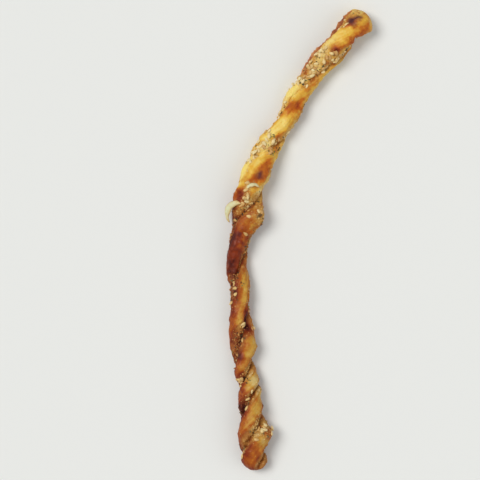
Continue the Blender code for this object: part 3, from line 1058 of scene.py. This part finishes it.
def strewn(name, shapes, placed, material):
    """Copies of the shapes, each put where its matrix says, joined in one piece. Each copy has
    its own square of the piece's flat layout."""
    bm = bmesh.new()
    tone_of = bm.verts.layers.float.new("tone")
    laid_out = bm.loops.layers.uv.new("OFBake")
    squares = math.ceil(math.sqrt(len(placed)))
    for index, (shape, matrix, tone) in enumerate(placed):
        known_verts, known_faces = len(bm.verts), len(bm.faces)
        bm.from_mesh(shapes[shape])
        bm.verts.ensure_lookup_table()
        bm.faces.ensure_lookup_table()
        for vertex in bm.verts[known_verts:]:
            vertex.co = matrix @ vertex.co
            vertex.co.z = max(0.0, vertex.co.z)
            vertex[tone_of] = tone
        corner = Vector((index % squares, index // squares))
        corner += Vector((SQUARE_MARGIN, SQUARE_MARGIN))
        for face in bm.faces[known_faces:]:
            for loop in face.loops:
                in_square = (1 - 2 * SQUARE_MARGIN) * loop[laid_out].uv
                loop[laid_out].uv = (corner + in_square) / squares
    bmesh.ops.recalc_face_normals(bm, faces=bm.faces)
    return new_piece(name, bm, material)


def shape_mesh(name, bm):
    """A shape to be strewn, kept as a mesh."""
    mesh = bpy.data.meshes.new(name)
    bm.to_mesh(mesh)
    bm.free()
    return mesh


def seed_shape(rng):
    """A flat drop of unit length, width and thickness, pointed at its +Z end."""
    bm = bmesh.new()
    bm.loops.layers.uv.new("OFBake")
    bmesh.ops.create_uvsphere(bm, u_segments=8, v_segments=6, radius=0.5, calc_uvs=True)
    pointed, bent = rng.uniform(0.34, 0.50), rng.uniform(-0.12, 0.12)
    for vertex in bm.verts:
        taper = 1 - pointed * 2 * vertex.co.z
        vertex.co.x = vertex.co.x * taper + bent * (vertex.co.z**2 - 0.25)
        vertex.co.y *= mix(1.0, taper, 0.6)
    return shape_mesh("seed", bm)


def hulled_sesame():
    """Cream to light tan from seed to seed, a few toasted brown, with a faint oil gloss."""
    material, tree, shader = new_material("hulled_sesame", Roughness=0.42)
    tone, fine = baked_share(tree, "tone"), mottled(tree, 0.0008, 0.40, 0.70)
    seed = browning(
        tree,
        total(tree, (tone, 1.0), (fine, 0.14)),
        Pale=(240, 222, 168),
        Golden=(228, 196, 130),
        Amber=(208, 160, 92),
        Rusty=(176, 116, 60),
        Burnt=(120, 72, 40),
    )
    tree.links.new(seed, shader.inputs["Base Color"])
    roughen(tree, shader, fine, 0.0002)
    return material


def sesame():
    """Seeds in the clumps, and then scattered over the two faces clear of each other."""
    rng = random.Random(11)
    shapes = [seed_shape(rng) for _ in range(SEED_SHAPES)]
    wanted = [(place, True) for place in clump_places(rng, SEED_CLUMPS)]
    wanted += [(face_place(rng), False) for _ in range(SEEDS_SCATTERED)]
    middles, placed = [], []
    for (below_crown, turned), clumped in wanted:
        if not on_the_stick(below_crown):
            continue
        place, normal = skin_at(below_crown, turned)
        lift = 0.0
        closest = min([(place - other).length for other in middles], default=1.0)
        if closest < SEED_CLEARANCE:
            if not clumped or closest < SEED_OVERLAP * SEED_CLEARANCE:
                continue
            lift = SEED_LIFT
        if turned_to_tray(place, normal, SEED_UNDERSIDE):
            continue
        deeper, toast_and_shade = baked_and_shaded_at(LENGTH - below_crown, turned, 0.0)
        if not clumped and kept_bare(below_crown, turned):
            continue
        if not clumped and rng.random() < (1 - SEEDS_LOWER) * deeper:
            continue
        size = [side * rng.uniform(*SEED_VARIES) for side in SEED_SIZE]
        sunk = rng.uniform(*SEED_SUNK)
        matrix = lying(place + lift * normal, normal, size, sunk, SEED_LEAN, rng)
        tone = toasted_tone(rng, SEED_TONES, max(0.0, toast_and_shade))
        placed.append((rng.randrange(SEED_SHAPES), matrix, tone))
        middles.append(place)
    return strewn("sesame_seeds", shapes, placed, hulled_sesame())


seeds = sesame()
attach(seeds, "root")

# ==== The herbs ================================================================================
# Dried oregano and rosemary, rubbed small and mixed with the seeds. The scraps are up to two
# millimetres long, brittle and bent, and dark olive to almost black from the oven.

LEAF_WIDTH, LEAF_THICKNESS, LEAF_LENGTH = (0.0004, 0.0009), 0.00020, (0.0007, 0.0018)
LEAF_SHAPES = 6
LEAF_RAISED = 0.2  # how much of its thickness a leaf lies above the skin
LEAF_LEAN = 0.45  # how unevenly it leans off the skin
LEAF_BENT = 1.6  # how far its tips bend up, in thicknesses
LEAF_UNDERSIDE = 0.0010
HERBS_SCATTERED = 280
# Clusters: below the crown, degrees turned up from the right, how many, and over what reach.
HERB_CLUSTERS = (
    (0.0217, 42, 6, 0.0012),
    (0.0371, 138, 8, 0.0028),
    (0.0376, 77, 4, 0.0008),
    (0.0430, 128, 8, 0.0040),
    (0.0530, 119, 5, 0.0030),
    (0.0849, 96, 5, 0.0012),
    (0.0830, 33, 3, 0.0008),
    (0.0899, 24, 6, 0.0016),
    (0.0915, 55, 8, 0.0030),
    (0.0972, 147, 6, 0.0040),
    (0.1301, 35, 6, 0.0018),
    (0.1341, 24, 4, 0.0018),
    (0.1700, 110, 8, 0.0050),
    (0.1989, 84, 12, 0.0026),
    (0.2220, 90, 4, 0.0040),
    (0.2504, 40, 8, 0.0040),
)


def leaf_shape(rng):
    """A thin bent leaf scrap of unit length, width and thickness."""
    bm = bmesh.new()
    bm.loops.layers.uv.new("OFBake")
    bmesh.ops.create_cone(
        bm, cap_ends=True, segments=7, radius1=0.5, radius2=0.42, depth=1.0, calc_uvs=True
    )
    for vertex in bm.verts:
        ragged = 1 + 0.35 * rng.uniform(-1, 1)
        across, thick, length = vertex.co.x * ragged, vertex.co.z, vertex.co.y * ragged
        vertex.co = Vector((across, thick + LEAF_BENT * length**2, length))
    return shape_mesh("leaf", bm)


def dried_leaf():
    """Olive where it stayed green, brown and nearly black where it dried out."""
    material, tree, shader = new_material("dried_leaf", Roughness=0.75)
    tone, fine = baked_share(tree, "tone"), mottled(tree, 0.0006, 0.40, 0.65)
    leaf = browning(
        tree,
        total(tree, (tone, 1.1), (fine, 0.2)),
        Pale=(156, 146, 82),
        Golden=(126, 112, 58),
        Amber=(98, 78, 44),
        Rusty=(72, 52, 32),
        Burnt=(52, 38, 30),
    )
    tree.links.new(leaf, shader.inputs["Base Color"])
    return material


def herbs():
    """Leaf scraps in the clusters, and then scattered over the two faces."""
    rng = random.Random(23)
    shapes = [leaf_shape(rng) for _ in range(LEAF_SHAPES)]
    wanted = clump_places(rng, HERB_CLUSTERS)
    scattered = [face_place(rng) for _ in range(HERBS_SCATTERED)]
    wanted += [place for place in scattered if not kept_bare(*place)]
    placed = []
    for below_crown, turned in wanted:
        if not on_the_stick(below_crown):
            continue
        place, normal = skin_at(below_crown, turned)
        if turned_to_tray(place, normal, LEAF_UNDERSIDE):
            continue
        size = (rng.uniform(*LEAF_WIDTH), LEAF_THICKNESS, rng.uniform(*LEAF_LENGTH))
        matrix = lying(place, normal, size, -LEAF_RAISED, LEAF_LEAN, rng)
        placed.append((rng.randrange(LEAF_SHAPES), matrix, rng.random()))
    return strewn("dried_herbs", shapes, placed, dried_leaf())


leaves = herbs()
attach(leaves, "root")

# ==== The crumbs ===============================================================================
# Crumbs of crisp dough and grated cheese that baked onto the two faces between the seeds. Most
# are under a millimetre, and they give the faces and the stick's outline their roughness.

CRUMB_ACROSS = 0.0003, 0.0007
BIG_CRUMB_ACROSS = 0.0007, 0.0012
SMALL_CRUMBS = 0.92  # the share of them that is small
CRUMB_SHAPES = 6
CRUMB_SUNK = 0.2, 0.5
CRUMB_LEAN = 0.4
CRUMB_UNDERSIDE = 0.0008
CRUMB_TONES = 0.05, 0.38, 1.5, 0.8  # in the order of SEED_TONES
CRUMBS_SCATTERED = 5200
CRUMBS_OVER = 150  # on each place where they spread over a side


def crumb_shape(rng):
    """An angular grain of unit size."""
    bm = bmesh.new()
    bm.loops.layers.uv.new("OFBake")
    bmesh.ops.create_icosphere(bm, subdivisions=1, radius=0.5, calc_uvs=True)
    for vertex in bm.verts:
        vertex.co *= 1 + 0.42 * rng.uniform(-1, 1)
    return shape_mesh("crumb", bm)


def crumb_crust():
    """As the faces that they lie on, from cream to dark brown."""
    material, tree, shader = new_material("crumb_crust", Roughness=0.6)
    tone, fine = baked_share(tree, "tone"), mottled(tree, 0.0006, 0.35, 0.65)
    crumb = browning(
        tree,
        total(tree, (tone, 1.0), (fine, 0.15)),
        Pale=(234, 208, 146),
        Golden=(214, 170, 92),
        Amber=(186, 126, 58),
        Rusty=(146, 80, 36),
        Burnt=(86, 40, 26),
    )
    tree.links.new(crumb, shader.inputs["Base Color"])
    return material


def crumbs():
    """Crumbs scattered over the two faces, and then over the sides where they spread."""
    rng = random.Random(31)
    shapes = [crumb_shape(rng) for _ in range(CRUMB_SHAPES)]
    wanted = [face_place(rng) for _ in range(CRUMBS_SCATTERED)]
    for below_crown, degrees, _, reach_along, reach_round in STREWN_OVER:
        for _ in range(CRUMBS_OVER):
            wanted.append(place_about(rng, below_crown, degrees, reach_along, reach_round))
    placed = []
    for below_crown, turned in wanted:
        if kept_bare(below_crown, turned):
            continue
        place, normal = skin_at(below_crown, turned)
        if turned_to_tray(place, normal, CRUMB_UNDERSIDE):
            continue
        widths = CRUMB_ACROSS if rng.random() < SMALL_CRUMBS else BIG_CRUMB_ACROSS
        across = rng.uniform(*widths)
        size = (across, across * rng.uniform(0.5, 0.9), across * rng.uniform(0.9, 1.5))
        matrix = lying(place, normal, size, rng.uniform(*CRUMB_SUNK), CRUMB_LEAN, rng)
        _, toast_and_shade = baked_and_shaded_at(LENGTH - below_crown, turned, 0.0)
        shape = rng.randrange(CRUMB_SHAPES)
        placed.append((shape, matrix, toasted_tone(rng, CRUMB_TONES, toast_and_shade)))
    return strewn("crust_crumbs", shapes, placed, crumb_crust())


grains = crumbs()
grains.data.shade_flat()
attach(grains, "root")

# ==== The curled flakes ========================================================================
# Scraps of the outermost layer that lifted in the oven and arched, pale as the raw dough. The
# large one still holds by its upper end, and the small one by both.

FLAKE_THICKNESS = 0.0008
# Its two ends, each below the crown, degrees turned up from the right, and off the skin; its
# width; and in degrees how far round it arches, how far its arch leans over, and how far it is
# turned about its own length.
FLAKES = (
    ((0.1255, 122, 0.0002), (0.1370, 176, 0.0034), 0.0042, 118, -35, 60),
    ((0.1142, 62, 0.0002), (0.1172, 106, 0.0002), 0.0024, 120, -50, 20),
)


def pale_flake():
    """Cream on its back, golden along its edges."""
    material, tree, shader = new_material("pale_flake", Roughness=0.5)
    edge, fine = baked_share(tree, "edge"), mottled(tree, 0.0009, 0.40, 0.70)
    flake = browning(
        tree,
        total(tree, (edge, 0.45), (fine, 0.15)),
        Pale=(216, 216, 174),
        Golden=(220, 196, 136),
        Amber=(200, 150, 86),
        Rusty=(160, 100, 52),
        Burnt=(110, 62, 36),
    )
    tree.links.new(flake, shader.inputs["Base Color"])
    roughen(tree, shader, fine, 0.00012)
    return material


def flake_end(below_crown, degrees, off_skin):
    """The middle of one end of a flake."""
    turned = math.radians(degrees)
    return skin_at(below_crown, turned)[0] + off_skin * ring_at(below_crown).outward(turned)


def curled_flakes():
    """Each is a grid bent to an arc from end to end, narrowed to its tips and a little cupped."""
    bm = bmesh.new()
    edge_of = bm.verts.layers.float.new("edge")
    for first, last, width, *angles in FLAKES:
        arch, leaning, tipped = [math.radians(angle) for angle in angles]
        turned = [math.radians(end[1]) for end in (first, last)]
        ends = flake_end(*first), flake_end(*last)
        forward = (ends[0] - ends[1]).normalized()
        middle = (ends[0] + ends[1]) / 2
        lifting = ring_at(first[0]).outward(sum(turned) / 2)
        lifting = (lifting - lifting.dot(forward) * forward).normalized()
        lifting.rotate(Matrix.Rotation(leaning, 3, forward))
        aside = lifting.cross(forward)
        aside.rotate(Matrix.Rotation(tipped, 3, forward))
        hollow_side = forward.cross(aside)
        radius = (ends[0] - ends[1]).length / (2 * math.sin(arch / 2))
        made = bmesh.ops.create_grid(bm, x_segments=24, y_segments=6, size=0.5)["verts"]
        for vertex in made:
            share, off = vertex.co.x + 0.5, 2 * vertex.co.y
            narrowed = math.sin(math.pi * mix(0.08, 0.92, share)) ** 0.45
            ragged = 1 + 0.25 * noise.noise(Vector((6 * share, off, 40 * first[0])))
            bent = arch * (share - 0.5)
            ahead = radius * math.sin(bent)
            lifted = radius * (math.cos(bent) - math.cos(arch / 2))
            sideways = 0.5 * width * off * narrowed * ragged
            cupped = -0.25 * width * off**2 * narrowed
            on_arc = middle + ahead * forward + lifted * lifting
            vertex.co = on_arc + sideways * aside + cupped * hollow_side
            vertex[edge_of] = max(abs(off), abs(2 * share - 1)) ** 3
    thicken(bm, FLAKE_THICKNESS)
    return new_piece("curled_flakes", bm, pale_flake())


scraps = curled_flakes()
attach(scraps, "root")

# ==== The pale board ===========================================================================
# A plain pale board that the stick is shown on, wide enough to pass the frame in every view. It
# isn't part of the object.

BOARD_SIZE = 12.0


def pale_board():
    """One flat face at the height of the tray."""
    material, _, shader = new_material("pale_board", Roughness=0.85)
    shader.inputs["Base Color"].default_value = paint(232, 233, 231)
    bm = bmesh.new()
    bmesh.ops.create_grid(bm, x_segments=1, y_segments=1, size=BOARD_SIZE / 2)
    return new_piece("floor", bm, material)


pale_board()

# ==== The light and the camera =================================================================
# A broad lamp to the left of the crown, a weak warm one on the right, and a pale room around.
# The camera looks straight down through a long lens from far off.

ROOM_LIGHT, WALL_LIGHT = 0.42, 0.78  # the room's light on the stick, and as the camera sees it


def soft_lamp(name, place, spread, power, colour):
    """A far lamp that shines from a place towards the stick, as broad as spread makes it."""
    lamp = bpy.data.lights.new(name, "SUN")
    lamp.angle = spread
    lamp.energy = power
    lamp.color = colour
    holder = bpy.data.objects.new(name, lamp)
    holder.location = place
    holder.rotation_euler = Vector(place).to_track_quat("Z", "Y").to_euler()
    bpy.context.scene.collection.objects.link(holder)


soft_lamp("window", (-0.45, 0.18, 0.80), math.radians(30), 1.85, (1.0, 0.98, 0.94))
soft_lamp("bounce", (0.70, -0.30, 0.60), math.radians(60), 0.50, (1.0, 0.94, 0.86))


def pale_room():
    """The room's weak light, with a paler wall where the camera looks past the board."""
    room = bpy.data.worlds.new("pale_room")
    room.use_nodes = True
    tree = room.node_tree
    backdrop = tree.nodes["Background"]
    backdrop.inputs["Color"].default_value = (0.93, 0.97, 1.0, 1.0)
    seen = tree.nodes.new("ShaderNodeLightPath").outputs["Is Camera Ray"]
    strength = add(tree, "MapRange", seen, 0.0, 1.0, ROOM_LIGHT, WALL_LIGHT)
    tree.links.new(strength, backdrop.inputs["Strength"])
    return room


bpy.context.scene.world = pale_room()
bpy.context.scene.view_settings.view_transform = "Standard"

SENSOR = 0.036
LENS = 0.200
SHOWN_HEIGHT = 0.264  # how much of the board the frame takes in
SHOWN_ASIDE = -0.0325  # where the frame's middle lies, to the left of the stick's own
camera = bpy.data.cameras.new("camera")
camera.sensor_width = SENSOR * 1000
camera.lens = LENS * 1000
watching = bpy.data.objects.new("camera", camera)
middle_height = (cad_high.z - cad_low.z) / 2
watching.location = (SHOWN_ASIDE, 0.0, middle_height + SHOWN_HEIGHT * LENS / SENSOR)
bpy.context.scene.collection.objects.link(watching)
bpy.context.scene.camera = watching

bpy.context.view_layer.update()
